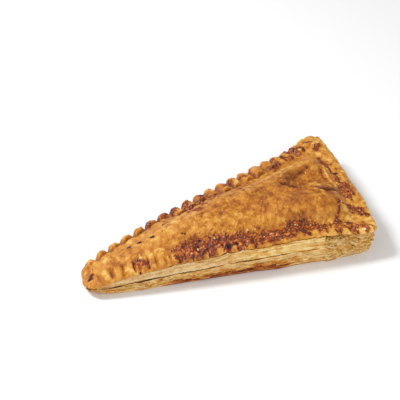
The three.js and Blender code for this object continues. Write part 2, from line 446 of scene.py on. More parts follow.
# %% Burnt strokes
BURNT_STROKES = [  # places as x, y, radius
    [(48, 2, 2.8), (51, 4.6, 4.8), (57, 4.8, 5.4), (63, 4.4, 5.4), (72, 3.4, 5.2), (80, 3.2, 5)],
    [(80, 3.2, 5.0), (88, 3.2, 4.8), (96, 3.4, 4.6), (103, 4.2, 4.4), (109, 6.4, 4.0)],
    [(108, 8.0, 3.0), (112, 7.6, 3.8), (118, 7.0, 3.0), (121, 6.2, 2.0)],
    [(104, 6, 2.4), (105.5, 1.8, 1.6)],
    [(113.5, 5.2, 2.1), (111.9, 3, 1.8), (113.8, 0.8, 1.5)],
    [(119.4, 4.6, 1.1), (121.1, 6.2, 1.3), (124.6, 5.6, 1.5), (123.3, 2.6, 1.9)],
    [(120.2, 3.2, 1.0), (121.4, 1.6, 0.9)],
    [(133.0, 7.4, 1.4), (131.6, 3.8, 2.5), (129.9, 0.6, 2.1)],
    [(137.3, 5.6, 2.1), (138.8, 2.4, 3.1), (136.6, 0.6, 2.3), (138.6, -0.6, 2.2)],
    [(144.3, 5.0, 1.2), (145.2, 1.2, 2.1), (143.6, -0.6, 2.0)],
    [(147.8, 2.9, 0.5), (149.2, 1.8, 0.8)],
    [(127.8, 7.2, 0.6), (127.0, 3.6, 0.6)],
    [(142.8, 17.2, 2.1), (146.6, 13.8, 2.5), (149.5, 10.4, 1.4)],
    [
        (138.7, 16.7, 0.5),
        (135.7, 17.9, 0.8),
        (135.1, 13, 0.5),
        (131.5, 8.2, 0.7),
        (127.9, 5.6, 0.5),
    ],
    [(145, 37, 2.3), (146.0, 32, 3.7), (144.2, 26.5, 2.5)],
    [(150.2, 40.2, 0.7), (147.2, 34.4, 1.5), (148.4, 26.6, 0.8)],
    [(144.4, 38.4, 0.7), (146.2, 32, 1.3), (139.5, 26.2, 0.8)],
    [(146.2, 30, 1.4), (145.6, 22, 0.5)],
    [(142.4, 66.5, 0.7), (143.6, 63, 1.3), (144.3, 58, 1.1), (144.9, 52, 0.7), (145.4, 44.6, 1.2)],
    [(144.3, 58, 0.9), (148.1, 57.2, 0.6)],
    [(145.4, 44.6, 1.4), (145.2, 40, 1.0)],
    [(146.4, 77.6, 1.9), (144.6, 73.6, 1.0), (148.6, 79.5, 0.8)],
    [(140.6, 82.8, 0.7), (144.6, 82.4, 1.0)],
    [(128.5, 76.4, 1.3), (133, 78.6, 1.8), (137, 79.6, 1.0)],
    [(27.2, 5.4, 1.9), (30.8, 3.2, 1.9)],
    [(36.5, 35.4, 0.9), (40.5, 36.4, 1.4)],
    [(44.5, 38.2, 1.4), (49, 40.6, 2.4), (55, 43, 2.2), (62, 45.4, 1.6)],
    [(5.0, 8.6, 0.8), (3.2, 5.4, 0.9)],
]
print(len(BURNT_STROKES), "strokes of burnt sugar by hand")

# %% [markdown]
# ## Char and creases
# Here and there a grain or a crumb turned black, which a round spot is enough for. The crust also
# creased as it sank: creases are strokes as well, each with a height, so that the same function
# reads both.

# %% Char and creases
CHAR_SPOTS = [  # x, y, radius: where a grain or a crumb turned black
    (25.5, 17.4, 0.8),
    (30.8, 18.0, 0.95),
    (37.8, 18.1, 1.0),
    (45.9, 27.8, 0.75),
    (52.1, 14.3, 0.55),
    (53.6, 13.8, 0.5),
    (59.6, 8.1, 0.8),
    (72.4, 1.6, 1.25),
    (77.0, 2.2, 0.8),
    (147.1, 48.8, 0.95),
    (27.4, 0.3, 0.5),
    (4.6, 8.0, 0.7),
    (3.4, 5.4, 0.8),
    (105.7, 5.2, 0.9),
    (112.4, 3.4, 0.9),
    (123.6, 2.8, 0.9),
]
CREASES = [  # height of the fold, then places as x, y, radius
    (0.9, [(141.3, 55, 1.2), (140.9, 50, 1.3), (140.8, 41, 1.3), (142.2, 34, 1.2)]),
    (
        -1.3,
        [(112, 37, 2.4), (117.7, 33.5, 3), (125.6, 30.2, 2.8), (132, 26.4, 2.4), (137.5, 27, 2)],
    ),
    (0.8, [(121, 29.5, 1.6), (127.3, 26.6, 1.5), (130.5, 23.6, 1.3)]),
    (0.7, [(126.5, 32.5, 1.1), (131, 30.2, 1.4), (136.2, 30.4, 1.3)]),
    (
        -0.55,
        [(138.5, 55, 1.4), (131, 51.8, 2.2), (124, 48.2, 2.6), (118, 43, 2.4), (116.5, 38, 1.6)],
    ),
    (0.6, [(136, 58, 1.5), (128, 54.2, 1.7), (119.5, 50.5, 1.7), (113.5, 44, 1.4)]),
    (0.5, [(124, 36.5, 1.2), (129, 34, 1.3), (135, 33.6, 1.2)]),
    (0.5, [(118, 22, 1.5), (124, 20.5, 1.6), (129.3, 21.6, 1.4)]),
    (0.45, [(70, 16, 1.6), (78, 19, 1.7), (88, 19.5, 1.5)]),
    (-0.5, [(64, 24, 1.8), (74, 27, 2.0), (86, 28, 1.8)]),
]
print(len(CHAR_SPOTS), "charred spots and", len(CREASES), "creases")

# %% [markdown]
# ## Darker and paler places
# An oven bakes unevenly. Broad patches along the creases are painted browner, partly browning and
# partly painted shade. Near the front corner the crust browned less, and the dent's middle and the
# strip behind it are painted paler as light. Where a leaf of the crust lifted clear it stayed pale
# and carries a painted glint. These strokes shift the browning, and a lifted leaf stands up a
# little as well.

# %% Seared and pale places
BROWNED_AND_SHADED = [  # places as x, y, radius: broad darker patches along the creases, partly browning and partly painted shade
    [(110, 37, 2.6), (118, 34, 3.6), (126, 30.5, 3.4), (134, 28.5, 3.0), (140, 28.5, 2.2)],
    [(138, 50, 1.6), (140, 42, 2.4), (141, 34, 2.2)],
    [(137, 20, 1.6), (135, 13, 2.2), (131, 8, 1.8)],
]
PALE_MARKS = [  # places as x, y, radius: where a leaf of crust lifted and stayed pale, with a painted glint on it
    [(29.3, 9.6, 0.5), (28.8, 7.2, 0.8)],
    [(36.8, 8.6, 0.8), (38.7, 9.4, 0.7), (41, 8.2, 0.8)],
    [(40.1, 5.9, 0.9), (40.6, 4.2, 0.6)],
    [(136, 30.4, 0.8), (133.5, 31.2, 0.6)],
    [(127.5, 28.3, 0.6), (129.2, 27.4, 0.5)],
    [(12, 13.5, 1.5), (13.2, 15, 1.2)],
]
PALE_AREAS = [  # places as x, y, radius: near the front corner the crust browned less; the dent's middle and the strip behind it are painted paler as light
    [(139.8, 14, 2.6), (141, 10.5, 2.8)],
    [(112, 51, 3.0), (121, 58, 4.0), (131, 63, 3.4)],
    [(130, 39, 2.2), (134.5, 36.5, 2.0)],
]
print(len(BROWNED_AND_SHADED), "seared places,", len(PALE_MARKS) + len(PALE_AREAS), "pale ones")

# %% [markdown]
# ## Reading the strokes
# A stroke is read as a field: 1 on its line and 0 at its edge, with the radius blended along it.
# Noise can then be added before the edge is drawn, so that no pool is a smooth sausage. Where
# nothing else is known, pools of the same kind are scattered by a seeded draw.

# %% Stroke field and scattered pools
SCATTERED_POOLS = 30


def stroke_field(xy, strokes):
    """How far inside the nearest stroke each point is: 1 on its line, 0 at its edge."""
    best = np.full(len(xy), -9.0)
    for stroke in strokes:
        for (x0, y0, r0), (x1, y1, r1) in zip(stroke, stroke[1:]):
            start, line = np.array([x0, y0]), np.array([x1 - x0, y1 - y0])
            share = np.clip((xy - start) @ line / (line @ line), 0, 1)
            away = np.hypot(*(xy - start - share[:, None] * line).T)
            best = np.maximum(best, 1 - away / (r0 + share * (r1 - r0)))
    return best


def scattered_strokes(count, seed):
    """Pools along the slanted border and on the pillow, where nothing says otherwise."""
    rng = np.random.default_rng(seed)
    strokes = []
    while len(strokes) < count:
        way = rng.uniform(starts[SLANTED] + 18, starts[SLANTED + 1] - 62)
        inward = rng.choice([rng.uniform(0, 8), rng.uniform(10, 34)], p=[0.8, 0.2])
        column = np.argmin(np.abs(column_way - way))
        middle = plain[column] - inward * outward[column]
        if middle[0] > 104 and inward > 12:
            continue
        turn, reach, radius = rng.uniform(0, np.pi), rng.uniform(0.3, 2.2), rng.uniform(0.6, 2.6)
        step = reach * np.array([math.cos(turn), math.sin(turn)])
        strokes.append([(*(middle - step), radius), (*(middle + step), 0.7 * radius)])
    return strokes


all_burnt = BURNT_STROKES + scattered_strokes(SCATTERED_POOLS, seed=12)
print(len(all_burnt), "strokes of burnt sugar in all")

# %% [markdown]
# ## Relief of the top crust
# The fine relief could be sculpted by hand or left to a bump map, but a bump map has no outline
# and casts no shadow. Here it is a sum of functions of the place on the crust, so that anything
# can be set on it later at the right height. The crimps come first. On the front they are fingers
# with a groove on each side, and on the slanted side plump lobes with a notch between them.

# %% Crimps in the crust
FINGER, FURROW, NOTCH = 1.7, 0.5, 1.25  # half widths across a ridge and across the grooves


def at_way(values, way):
    """A column value read off between the columns."""
    return np.interp(way, column_way, values)


def crimp_relief(flat, depth, way, side):
    """Height that the crimping tool left, and how deep in a groove each point is."""
    x = flat[:, 0]
    on_front, on_slanted = side == FRONT, side == SLANTED
    ridge = at_way(phase, way) + 0.05 * noise(flat, 5, 3)
    reach = np.where(on_front, 8.8 - 4.0 * smooth(26, 56, x), 3.6 + 5.0 * smooth(46, 60, x))
    behind_lip = np.where(on_front, smooth(0.5, 1.6, depth), 1)
    window = behind_lip * (1 - smooth(reach - 1.4, reach + 0.6, depth + 0.7 * noise(flat, 4, 4)))
    window = window * crimp_strength(x, side) * (0.95 + 0.35 * noise(flat, 9, 19))
    from_ridge, halfway = from_front_ridge(x, ridge)
    finger = np.exp(-((from_ridge / FINGER) ** 4))
    beside = np.where(halfway < 3.2, halfway, 2.3)
    furrow = np.exp(-(((from_ridge - beside) / FURROW) ** 2))
    notch = np.exp(-((LOBE_PITCH * (0.5 - np.abs(ridge - np.round(ridge))) / NOTCH) ** 2))
    ending = 0.7 * np.exp(-(((depth - reach) / 0.9) ** 2)) * crimp_strength(x, side)
    notched = np.maximum(window * notch, ending) * on_slanted
    lobe = np.where(on_front, 0.9 * (finger - 0.3), 0.75 * (lobe_shape(ridge) - 0.6))
    height = window * lobe - np.where(on_front, 0.9 * window * furrow, 1.9 * notched)
    return height, np.where(on_front, 0.6 * window * furrow, notched)


print("each finger of the front is", 2 * FINGER, "mm wide")

# %% [markdown]
# ## Skin
# Egg wash dries to a skin, and steam lifts it into blisters of many sizes between soft wrinkles.
# Cell noise makes the blisters, and its random number for each says which ones rose. A wrinkle is
# the line where gradient noise crosses zero, sharpened with a power.

# %% Blisters and wrinkles
def skin_relief(flat, inner):
    """Blisters, pimples, wrinkles and unevenness of the egg-washed skin."""
    x, y = flat[:, 0], flat[:, 1]
    wave = 0.30 * np.sin(x / 5.3 + 1.1 * np.sin(y / 7.1)) + 0.22 * np.sin(y / 4.1 - x / 13)
    blister, pick = bubbles(flat + 0.5 * noise(flat, 3, 5)[:, None], 4.6, 6, 0.55)
    blister = blister * (pick > 0.5) * (pick - 0.2)
    pimple, small_pick = bubbles(flat, 1.8, 7, 0.5)
    pimple = pimple * (small_pick > 0.62)
    fold = 1 - np.abs(noise(flat + 2.0 * noise(flat, 8, 8)[:, None], 6, 9))
    height = inner * (wave + 0.34 * fold**6 + 0.42 * noise(flat, 11, 20))
    at_tip = np.exp(-((x / 10) ** 2))
    height += 0.45 * blister + (0.16 + 0.30 * at_tip) * pimple
    height += 0.24 * rough(flat, 3.0, 10) + 0.09 * noise(flat, 0.9, 23)
    return height, blister, fold


# %% [markdown]
# ## Burnt sugar on the relief
# The strokes are only a plan of where sugar lay. Noise makes their edges ragged, and small bubbles
# of two sizes make a froth of them, which stands up a little. Along the front edge the top of each
# crimped finger stayed clear of sugar for a few millimetres, a different length on each.

# %% Burnt sugar and char
tooth_lengths = np.random.default_rng(8).uniform(0.6, 4.6, len(FRONT_RIDGES))


def spared_crust(flat, depth, way):
    """Where the ridges and the lip of the front edge stayed free of burnt sugar."""
    x = flat[:, 0]
    ridge = at_way(phase, way)
    number = np.clip(np.round(ridge), 0, len(FRONT_RIDGES) - 1).astype(int)
    across = from_front_ridge(x, ridge)[0] + 0.45 * noise(flat, 2.2, 26)
    beyond = depth + 0.5 * noise(flat, 1.8, 47) - tooth_lengths[number]
    tooth = (1 - smooth(0.9, 1.7, across)) * (1 - smooth(-0.6, 0.6, beyond))
    from_lip = depth + 0.5 * noise(flat, 3, 48) + 0.9 * (1 - smooth(74, 92, x))
    strip = 1 - smooth(0.5, 1.3, from_lip)
    return 1.5 * smooth(54, 60, x) * np.maximum(tooth, strip * (1 - smooth(126, 130, x)))


def burnt_sugar(flat, depth, spared):
    """How burnt each point is, its froth of bubbles, and how near a burnt place it lies."""
    ragged = 0.55 * noise(flat, 2.4, 12) + 0.45 * noise(flat, 1.0, 13)
    field = stroke_field(flat[:, :2], all_burnt)
    burnt = smooth(-0.1, 0.2, field + ragged - spared - 1.2 * (depth < 0.35))
    large, large_pick = bubbles(flat + 0.3 * noise(flat, 1.5, 27)[:, None], 1.7, 14, 0.62)
    small, small_pick = bubbles(flat, 0.95, 28, 0.55)
    froth = np.maximum(large * (0.35 + 0.65 * large_pick), 0.75 * small * small_pick)
    nearby = smooth(-0.9, 0.2, field + 0.5 * ragged - spared) * (1 - burnt)
    return burnt, froth, nearby


def char_spots(flat):
    """How charred each point is, and how toasted the crust is round the char."""
    char, toasted = np.zeros(len(flat)), np.zeros(len(flat))
    for x, y, radius in CHAR_SPOTS:
        away = np.hypot((flat[:, 0] - x) / 1.2, flat[:, 1] - y) / radius
        away += 0.6 * noise(flat, 0.9, 16)
        char = np.maximum(char, 1 - smooth(0.7, 1.3, away))
        toasted = np.maximum(toasted, 1 - smooth(0.9, 2.0, away))
    return char, toasted


print("clear fingers are up to", tooth_lengths.max().round(1), "mm long")

# %% [markdown]
# ## Browning and painted shading
# The crust browns where the heat reaches it: more on the filled part than on the border, and in
# drifts and freckles of its own. The same value also carries painted shade and painted light. A
# picture could be painted for this, but a value worked out for each point needs no unwrapping, and
# its detail is as fine as the mesh.

# %% Browning by place
def browning_and_shading(flat, filled, seam):
    """How brown the crust is by place, with painted shade and light, before its relief is counted.
    """
    xy, x = flat[:, :2], flat[:, 0]
    border = (1 - smooth(0.02, 0.25, filled)) * smooth(112, 134, x)
    # The seam round the pillow's foot is painted a little darker, as shade in its valley.
    bake = 0.35 + 0.22 * filled * smooth(55, 110, x) + 0.06 * seam
    bake -= 0.10 * border + 0.12 * near_corner(xy)
    bake += 0.12 * rough(flat, 16, 17) + 0.15 * rough(flat, 4.5, 18)
    bake += (0.08 + 0.12 * smooth(128, 140, x)) * rough(flat, 2.2, 58)
    # Darker strokes along the creases: partly browning, partly painted shade.
    bake += 0.18 * smooth(0, 0.8, stroke_field(xy, BROWNED_AND_SHADED) + 0.4 * noise(flat, 3, 59))
    # Paler places: one browned less, and the dent's middle and the strip behind it carry painted
    # light.
    paler = stroke_field(xy, PALE_AREAS) + 0.7 * rough(flat, 2.6, 62)
    bake -= 0.24 * smooth(-0.2, 0.9, paler)
    freckle, pick = bubbles(flat + 0.8 * noise(flat, 1.5, 51)[:, None], 5.2, 50, 0.34)
    return bake + 0.20 * freckle * (pick > 0.45)


# %% [markdown]
# ## Height and paint together
# One function adds everything up: border, pillow, swells, crimps, skin, creases, sugar and char.
# The relief also changes the colour: the front grooves brown first where egg wash pooled, while the
# notches between the slanted lobes, the sunk creases and the seam at the pillow's foot get painted
# shade. Lifted blisters stay pale, and the raised folds and the tops of the crimps get painted
# highlight. As height and paint come from the same numbers, they always fit each other.

# %% Height and paint of the crust
def fold_heights(flat):
    """Height of the creases, and how far each point lies on a lifted leaf with a painted glint."""
    folds = np.zeros(len(flat))
    for rise, crease in CREASES:
        field = stroke_field(flat[:, :2], [crease])
        folds += rise * smooth(0, 1, field + 0.25 * noise(flat, 3, 25))
    lifted_glint = stroke_field(flat[:, :2], PALE_MARKS) + 0.4 * noise(flat, 1.6, 46)
    return folds, smooth(0.0, 0.6, lifted_glint)


def crust_fields(xy):
    """Height and paint values of the top crust for points in plan."""
    flat = np.column_stack([xy, np.zeros(len(xy))])
    x = xy[:, 0]
    depths, ways = sides_of(xy)
    side = np.argmin(depths, axis=0)
    way = np.choose(side, ways)
    depth = np.maximum(0, depths.min(axis=0) + at_way(scallop, way))
    filled, seam = pillow(depths, x)
    swell = sum(oval(xy, *swell) for swell in SWELLS)
    height = rim_height(xy) + PILLOW_RISE * filled + swell * smooth(0, 0.5, filled) - 0.6 * seam
    soft_edge = (side == FRONT) * (1 - smooth(60, 90, x))
    height -= (0.4 + 1.0 * soft_edge) * (1 - smooth(0, 3.2, depth)) ** 2
    height += 0.45 * noise(flat, 24, 24)
    crimp, groove = crimp_relief(flat, depth, way, side)
    skin, blister, fold = skin_relief(flat, smooth(0, 4, depth))
    folds, lifted_glint = fold_heights(flat)
    height += crimp + skin + folds + 0.3 * lifted_glint

    spared = spared_crust(flat, depth, way) * (side == FRONT)
    burnt, froth, nearby = burnt_sugar(flat, depth, spared)
    char, toasted = char_spots(flat)
    height += burnt * (0.10 + 0.55 * froth + 0.30 * noise(flat, 2.2, 15)) - 0.10 * char

    bake = browning_and_shading(flat, filled, seam) + 0.08 * fold**6
    # Egg wash pooled in the front grooves; the notches and sunk creases carry painted shade, and
    # the crimp tops and raised folds painted highlight.
    bake += 0.42 * groove - 0.20 * blister - 0.17 * smooth(0.1, 0.6, crimp) - 0.34 * folds
    # Lifted leaves are painted pale, with a painted glint on them.
    bake += 0.20 * nearby + 0.25 * toasted - 0.38 * lifted_glint
    paint = {"bake": np.clip(bake, 0, 1), "burnt": burnt, "char": char, "froth": froth}
    return height, paint


middle_height, _ = crust_fields(np.array([[LENGTH / 2, WIDTH / 3]]))
print("the crust is", middle_height[0].round(1), "mm high near its middle")

# %% [markdown]
# ## Shader arithmetic
# A material is a graph of nodes, and graphs are hard to read as code. This small class wraps one
# output socket and gives it Python's operators, so that a formula in the text becomes the nodes
# that work it out. Anything that isn't arithmetic goes through one method, `add`.

# %% Sockets with operators
class Wire:
    """One output socket of a material, with Python's arithmetic on it."""

    def __init__(self, tree, socket=None):
        self.tree, self.socket = tree, socket

    def add(self, kind, settings=None, sockets=None, result=0):
        """A new node of that kind: its settings first, then its sockets' values or links."""
        node = self.tree.nodes.new("ShaderNode" + kind)
        for name, setting in (settings or {}).items():
            if name == "stops":
                fill_ramp(node.color_ramp, setting)
            else:
                setattr(node, name, setting)
        for name, given in (sockets or {}).items():
            if isinstance(given, Wire):
                self.tree.links.new(given.socket, node.inputs[name])
            else:
                node.inputs[name].default_value = given
        return Wire(self.tree, node.outputs[result] if len(node.outputs) else None)

    def maths(self, operation, *numbers):
        return self.add("Math", {"operation": operation}, dict(enumerate(numbers)))

    def __add__(self, other):
        return self.maths("ADD", self, other)

    def __sub__(self, other):
        return self.maths("SUBTRACT", self, other)

    def __rsub__(self, other):
        return self.maths("SUBTRACT", other, self)

    def __mul__(self, other):
        return self.maths("MULTIPLY", self, other)

    __radd__, __rmul__ = __add__, __mul__

    def between(self, low, high):
        """0 below low, 1 above high, and an easy curve between them."""
        limits = {"Value": self, "From Min": low, "From Max": high}
        return self.add("MapRange", {"interpolation_type": "SMOOTHSTEP"}, limits)

    def ramp(self, *stops):
        """A colour for each value, through (value, colour) stops."""
        return self.add("ValToRGB", {"stops": stops}, {"Fac": self})

    def cover(self, colour, share):
        """This colour with another laid over it, as strongly as share says."""
        return self.add("Mix", {"data_type": "RGBA"}, {0: share, 6: self, 7: colour}, result=2)


# %% [markdown]
# ## Helpers for materials
# Every finish here needs the same few things: colours by name, a grain finer than the mesh, the
# values that were stored on the points, a little bump, and light that enters the dough. Each gets
# a short function. Colours are given as 0 to 255, as on a paint card, and made linear here.

# %% Colours, grain and stored paint
def fill_ramp(ramp, stops):
    """Sets a colour ramp's stops."""
    while len(ramp.elements) < len(stops):
        ramp.elements.new(1)
    for element, (place, colour) in zip(ramp.elements, stops):
        element.position, element.color = place, colour


def tint(red, green, blue):
    """A colour mixed as on a paint card, 0 to 255, in the linear values that shaders use."""
    share = [value / 255 for value in (red, green, blue)]
    linear = [v / 12.92 if v <= 0.04045 else ((v + 0.055) / 1.055) ** 2.4 for v in share]
    return (*linear, 1)


def new_material(name):
    """An empty material, a wire to build with, and a function that joins its shader up."""
    material = bpy.data.materials.new(name)
    material.use_nodes = True
    tree = material.node_tree
    tree.nodes.clear()

    def finish(sockets):
        shader = Wire(tree).add("BsdfPrincipled", {}, {"Specular IOR Level": 0.3, **sockets})
        Wire(tree).add("OutputMaterial", {}, {"Surface": shader})
        return material

    return Wire(tree), finish


def grain(start, size, detail=3.0, stretch=(1, 1, 1)):
    """Blender's own noise at a size in millimetres, for what is finer than the mesh."""
    place = start.add("TexCoord", result=3)
    place = place.add("VectorMath", {"operation": "MULTIPLY"}, {0: place, 1: stretch})
    sockets = {"Vector": place, "Scale": 1 / (size * MM), "Detail": detail}
    return start.add("TexNoise", {}, sockets)


def painted(start, name):
    """A value that was stored on the mesh."""
    return start.add("Attribute", {"attribute_name": name}, result=2)


def bumped(relief, strength, distance):
    """A normal that is tilted by relief finer than the mesh."""
    sockets = {"Strength": strength, "Distance": distance * MM, "Height": relief}
    return relief.add("Bump", {}, sockets)


def glow(weight, distance):
    """Light that goes a little way into the dough, most of all red light."""
    return {
        "Subsurface Weight": weight,
        "Subsurface Scale": distance * MM,
        "Subsurface Radius": (1.0, 0.5, 0.25),
    }


print("a mid brown in linear values:", [round(value, 3) for value in tint(156, 86, 16)[:3]])

# %% [markdown]
# ## The crust's finish
# Egg wash bakes from pale straw through gold to brown, so one ramp of a few mixed colours serves
# the whole crust, and the stored browning, with its painted shade and light, picks the place on it.
# Burnt sugar is laid over that, darker and glossy, and char over everything. Separate materials for
# sugar and crust would meet in hard lines, so one material holds them all and blends between them.

# %% Crust material
def crust_material():
    """Egg-washed crust with burnt sugar and char over it."""
    start, finish = new_material("egg_washed_crust")
    bake, burnt, char, froth = (painted(start, n) for n in ("bake", "burnt", "char", "froth"))
    speckle = grain(start, 0.8)
    blotch = grain(start, 3.5)
    browning_and_shading = bake + 0.52 * (speckle - 0.5) + 0.42 * (blotch - 0.5)
    crust = browning_and_shading.ramp(
        (0.05, tint(236, 190, 104)),
        (0.25, tint(216, 153, 58)),
        (0.45, tint(194, 120, 28)),
        (0.68, tint(156, 86, 16)),
        (0.95, tint(98, 38, 6)),
    )
    candied = 0.55 * froth + 1.4 * (grain(start, 1.2) - 0.5) + 1.3 * (blotch - 0.5) + 0.28
    sugar = candied.ramp(
        (0.10, tint(42, 8, 1)),
        (0.38, tint(94, 22, 1)),
        (0.64, tint(154, 56, 3)),
        (0.95, tint(220, 138, 44)),
    )
    amount = (burnt + 0.7 * (speckle - 0.5)).between(0.25, 0.6)
    colour = crust.cover(sugar, amount * 0.95)
    colour = colour.cover(tint(44, 16, 14), (char + 0.3 * (speckle - 0.5)).between(0.25, 0.7))
    relief = grain(start, 0.45, 4.0) + 0.8 * grain(start, 1.3) + 1.2 * blotch
    shine = 0.04 + 0.12 * amount + 0.6 * (speckle - 0.5).between(0.06, 0.2)
    return finish(
        {
            "Base Color": colour,
            "Roughness": 0.38 - 0.12 * amount + 0.4 * (blotch - 0.5) + 0.3 * char,
            "Coat Weight": shine * (1 - char),
            "Coat Roughness": 0.14,
            "Normal": bumped(relief, 0.8, 0.45),
            **glow(0.06, 0.4),
        }
    )


crust_finish = crust_material()
print("the crust's finish has", len(crust_finish.node_tree.nodes), "nodes")

# %% [markdown]
# ## The layers' finish
# The layers of the side have no egg wash: they are duller, paler in the folds and browner at the
# torn edges. Where the wheel cut the front edge the dough is a paler cream, and further along it
# is soaked a clear yellow. Three ramps read the same browning, which also holds painted shade in
# the crevices and under the lip, and two stored values blend them.

# %% Layer material
def layer_material():
    """Torn layers, the cream cut face and its yellow end."""
    start, finish = new_material("torn_layers")
    bake, cream, yellow = (painted(start, name) for name in ("bake", "cream", "yellow"))
    speckle = grain(start, 0.8)
    streak = grain(start, 2.2, 4.0, (1, 1, 3.5))
    cells = grain(start, 2.6, 2.0)
    cut = cream + yellow
    flaky = (bake + 0.55 * (speckle - 0.5) + 0.50 * (streak - 0.5)).ramp(
        (0.00, tint(244, 216, 156)),
        (0.25, tint(226, 180, 98)),
        (0.46, tint(214, 146, 50)),
        (0.66, tint(180, 94, 16)),
        (0.85, tint(128, 48, 4)),
        (1.00, tint(44, 13, 2)),
    )
    mottled = bake + 0.62 * (speckle - 0.5) + 0.50 * (cells - 0.5) + 0.12 * (streak - 0.5)
    creamy = (mottled + 0.1).ramp(
        (0.15, tint(232, 204, 152)),
        (0.45, tint(212, 162, 90)),
        (0.75, tint(160, 112, 54)),
        (1.00, tint(52, 26, 8)),
    )
    golden = (bake + 0.34 * (speckle - 0.5) + 0.60 * (cells - 0.5) + 0.08).ramp(
        (0.10, tint(240, 212, 144)),
        (0.34, tint(220, 168, 72)),
        (0.60, tint(196, 128, 40)),
        (1.00, tint(66, 32, 8)),
    )
    relief = grain(start, 0.45, 4.0) + 1.2 * streak * (1 - 0.8 * cut) + 0.8 * cut * cells
    return finish(
        {
            "Base Color": flaky.cover(creamy, cream).cover(golden, yellow),
            "Roughness": 0.50 + 0.3 * (speckle - 0.5) - 0.16 * yellow,
            "Coat Weight": 0.06 + 0.35 * yellow,
            "Coat Roughness": 0.2,
            "Normal": bumped(relief, 0.75, 0.4),
            **glow(0.10, 0.7),
        }
    )


layer_finish = layer_material()
print("the layers' finish has", len(layer_finish.node_tree.nodes), "nodes")

# %% [markdown]
# ## The top crust
# The top sheet ends in a thin lip all round, which overhangs the side a little. The mesh runs from
# the patch on top, out over the lip and back in under it, and then down inside the parcel where it
# closes; under the lip it is painted darker as shade. A closed piece casts true shadows and can be
# printed or weighed.

# %% Top crust
# The rings under the lip and the closing ring inside are painted darker, as shade.
LIP = [  # how far out from the edge, how far below the top ring, and how much browner
    (-0.25, 0.22, 0.0),
    (0.0, 0.62, -0.08),
    (-0.15, 1.0, -0.12),
    (-0.9, 1.25, 0.3),
    (-4.0, 1.6, 0.5),
]
CRUST_FLOOR_OUT, CRUST_FLOOR_SHADE = -4.0, 0.5  # the ring inside the parcel that closes it


def push(distance, follow=1.0):
    """The outline moved outwards, following the scallops as far as `follow` says."""
    distance = np.broadcast_to(distance + follow * scallop, COLUMNS)
    return plain + distance[:, None] * outward


def at_height(xy, height):
    """Points in plan, raised to a height."""
    return np.column_stack([xy, np.broadcast_to(height, len(xy))])


flat_edge = at_height(plain, 0)
lip_noise = 0.28 * noise(flat_edge, 5, 21) + 0.22 * noise(flat_edge, 1.6, 22)
plan, top_faces = patch(push(-0.8 + lip_noise))
height, paint = crust_fields(plan)
rim = height[:COLUMNS].copy()
crust_rings = [at_height(plan, height)]
crust_rings += [at_height(push(out + lip_noise), rim - drop) for out, drop, _ in LIP]
crust_rings.append(at_height(push(CRUST_FLOOR_OUT), 0.5 * rim))
faces = top_faces.tolist()
ring = np.arange(COLUMNS)
for first in len(plan) + COLUMNS * np.arange(len(LIP) + 1):
    below = first + np.arange(COLUMNS)
    faces += joined(below, ring)
    ring = below
faces.append(ring[::-1].tolist())
crust_paint = {
    name: np.concatenate([value, np.tile(value[:COLUMNS], len(LIP) + 1)])
    for name, value in paint.items()
}
# Under the lip and inside, the crust is painted darker as shade.
lip_shading = [ring_of_lip[2] for ring_of_lip in LIP] + [CRUST_FLOOR_SHADE]
crust_paint["bake"][len(plan) :] += np.repeat(lip_shading, COLUMNS)
crust_paint["burnt"][len(plan) + 2 * COLUMNS :] = 0
make_piece("top_crust", np.vstack(crust_rings), faces, crust_finish, **crust_paint)
print("the crust's highest point is at", round(height.max(), 1), "mm")

# %% [markdown]
# ## The torn layers of the side
# Laminated dough is folded with butter until it has dozens of leaves, and the oven lifts them
# apart. One open seam runs between the two sheets of the parcel. The front edge was cut with a
# wheel as far as a step near the square end, so its upper sheet is smooth there. Before any leaf
# is made, each column of the side gets its own values: how cut, how yellow, how burnt at its foot,
# and how far the seam gapes.

# %% What the side is like, column by column
LOWER_LEAVES, UPPER_LEAVES = 9, 8
SEAM, ROOF = 0.5, 0.895  # shares of the rim height: the open seam, and the lip's underside
CUT_END = 122.6  # x where the wheel's cut stops
SEAM_GAP = 0.62  # half the height of the seam where it gapes most
FOOT_LINE = (  # x, and how far out of the outline the foot stands
    [(0, -1.5), (14, 0), (86, 0), (98, 1.0), (110, 0)]
    + [(122, 0.1), (124, 1.2), (134, -0.3), (150, -1.6)]
)

x = plain[:, 0]
front = (column_side == FRONT) & (x > 4)
cut = front * smooth(5, 12, x) * (1 - smooth(CUT_END - 0.8, CUT_END + 0.6, x))
yellow = cut * smooth(66, 92, x)
foot_burn = front * smooth(34, 48, x) * (1 - smooth(100, 109, x))
pale_end = front * smooth(98, 112, x)
torn_end = front * smooth(CUT_END - 0.5, CUT_END + 1.5, x)
foot_out = np.where(front, np.interp(x, *np.array(FOOT_LINE).T), -0.6)
open_front = 0.08 + 0.24 * (1 - smooth(98, 108, x)) + 0.68 * (1 - smooth(34, 44, x))
open_front = smooth(6, 9, x) * open_front
ajar = 0.5 * smooth(-0.3, 0.5, noise(flat_edge, 16, 57))
crack = np.where(front, open_front * smooth(-1.1, -0.6, noise(flat_edge, 2.4, 49)), ajar)
seam_line = SEAM + 0.012 * noise(flat_edge, 15, 42) + 0.008 * noise(flat_edge, 4, 43)
half_gap = SEAM_GAP / rim * (0.12 + 0.88 * crack)
print("the cut runs for", round(np.ptp(x[cut > 0.5])), "mm of the front edge")

# %% [markdown]
# ## Breaks and thicknesses
# Noise alone makes soft waves, but baked dough snaps. So a second kind of unevenness steps from one
# value to the next at random places, with only a short slope between. The leaves also differ in
# thickness: each sheet is shared out at random between its own leaves, up to the seam or the lip.

# %% Breaks and leaf edges
LEAF_FOOT = 0.03  # where the lowest leaf starts, as a share of the rim height
BREAK_SLOPE = 0.35  # half the length over which a broken leaf steps


